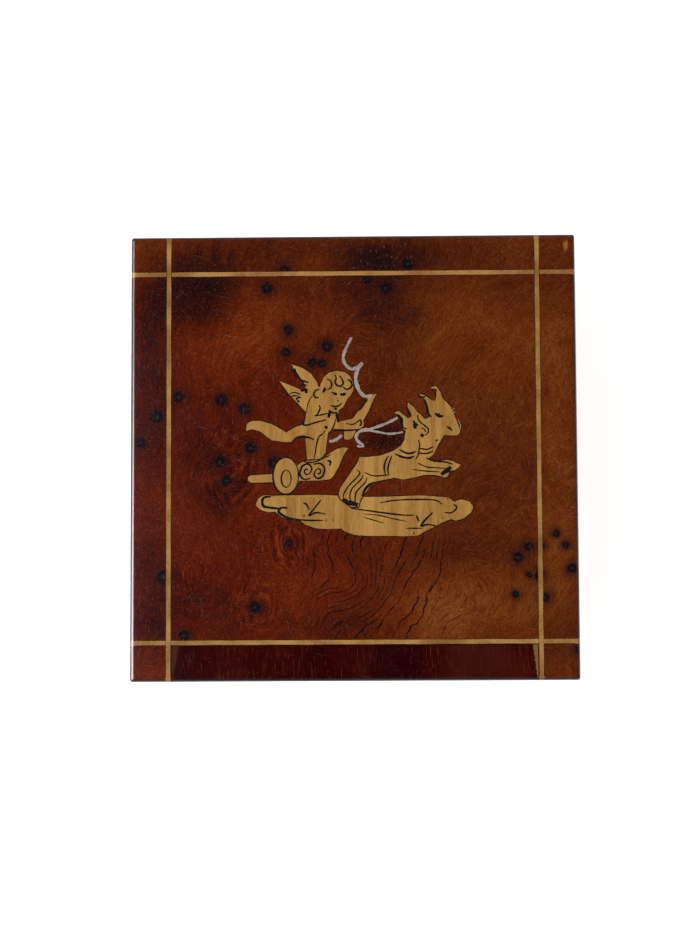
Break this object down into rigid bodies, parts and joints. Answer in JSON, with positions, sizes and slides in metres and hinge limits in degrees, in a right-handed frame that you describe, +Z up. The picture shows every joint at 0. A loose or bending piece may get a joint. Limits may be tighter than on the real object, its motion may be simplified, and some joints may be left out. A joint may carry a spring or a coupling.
{
  "type": "puzzle box",
  "caption": "Square inlaid wooden puzzle box: the front panel slides up off a hidden keyhole, a secret drawer in the side holds the key, and the lockable lid swings up on hinges.",
  "frame": {"origin": "middle of the underside of the base felt, where the box stands", "axes": "+Z up; +Y towards the hinged back; +X towards the side with the hidden key drawer; the sliding front panel faces -Y"},
  "size_m": [0.11, 0.11, 0.058],
  "materials": {
    "burl_veneer": "glossy lacquer over burl",
    "dark_veneer": "glossy lacquer over dark stained veneer",
    "stringing": "glossy lacquer over boxwood",
    "inlay_wood": "glossy lacquer over pale maple",
    "case_wood": "waxed walnut",
    "drawer_wood": "waxed beech",
    "lining": "short velvet",
    "base_felt": "felt",
    "brass": "polished and slightly tarnished",
    "steel": "filed and oiled"
  },
  "bodies": {
    "case": {"base_felt": "base_felt", "base_board": "case_wood", "left_wall": "case_wood", "right_wall": "case_wood", "back_wall": "case_wood", "lock_wall": "case_wood", "inner_floor": "case_wood", "drawer_runners": "drawer_wood", "panel_guide_keys": "drawer_wood", "case_stringing": "stringing", "case_veneer_left": "burl_veneer", "case_veneer_right": "burl_veneer", "case_veneer_back": "burl_veneer", "post_veneers": "burl_veneer", "floor_lining": "lining", "wall_lining": "lining", "case_hinge_screws": "brass", "lock_screws": "brass", "lock_case": "brass", "lock_back_plate": "brass", "lock_selvedge": "brass", "key_pin": "steel", "lock_spring": "steel", "escutcheon": "brass", "hinge_left_case_leaf": "brass", "hinge_right_case_leaf": "brass", "hinge_pins": "brass"},
    "lid": {"lid_left_rail": "case_wood", "lid_right_rail": "case_wood", "lid_back_rail": "case_wood", "lid_front_rail": "case_wood", "lid_panel": "case_wood", "lid_lining": "lining", "inlay_putto": "inlay_wood", "inlay_chariot": "inlay_wood", "inlay_goats": "inlay_wood", "inlay_ground": "inlay_wood", "lid_field_veneer": "burl_veneer", "lid_border_veneers": "burl_veneer", "lid_corner_veneers": "burl_veneer", "lid_top_stringing": "stringing", "lid_side_stringing": "stringing", "lid_side_veneers": "burl_veneer", "lid_hinge_screws": "brass", "strike_screws": "brass", "strike_plate": "brass", "hinge_left_lid_leaf": "brass", "hinge_right_lid_leaf": "brass"},
    "front_panel": {"front_board": "case_wood", "front_veneer": "burl_veneer", "front_stringing": "stringing", "front_cap": "dark_veneer"},
    "key_drawer": {"drawer_front": "drawer_wood", "drawer_veneer": "burl_veneer", "drawer_bottom": "drawer_wood", "drawer_sides": "drawer_wood", "drawer_back": "drawer_wood", "drawer_lining": "lining", "key": "steel"},
    "bolt": {"lock_bolt": "steel"}
  },
  "joints": [
    {"name": "lid_hinge", "type": "hinge", "parent": "case", "child": "lid", "pos_m": [0, 0.0533, 0.04355], "axis": [-1, 0, 0], "range_deg": [0, 100]},
    {"name": "front_panel_slide", "type": "slide", "parent": "case", "child": "front_panel", "axis": [0, 0, 1], "range_m": [0, 0.0308]},
    {"name": "key_drawer_slide", "type": "slide", "parent": "case", "child": "key_drawer", "axis": [1, 0, 0], "range_m": [0, 0.05]},
    {"name": "bolt_slide", "type": "slide", "parent": "case", "child": "bolt", "axis": [1, 0, 0], "range_m": [0, 0.004]}
  ]
}
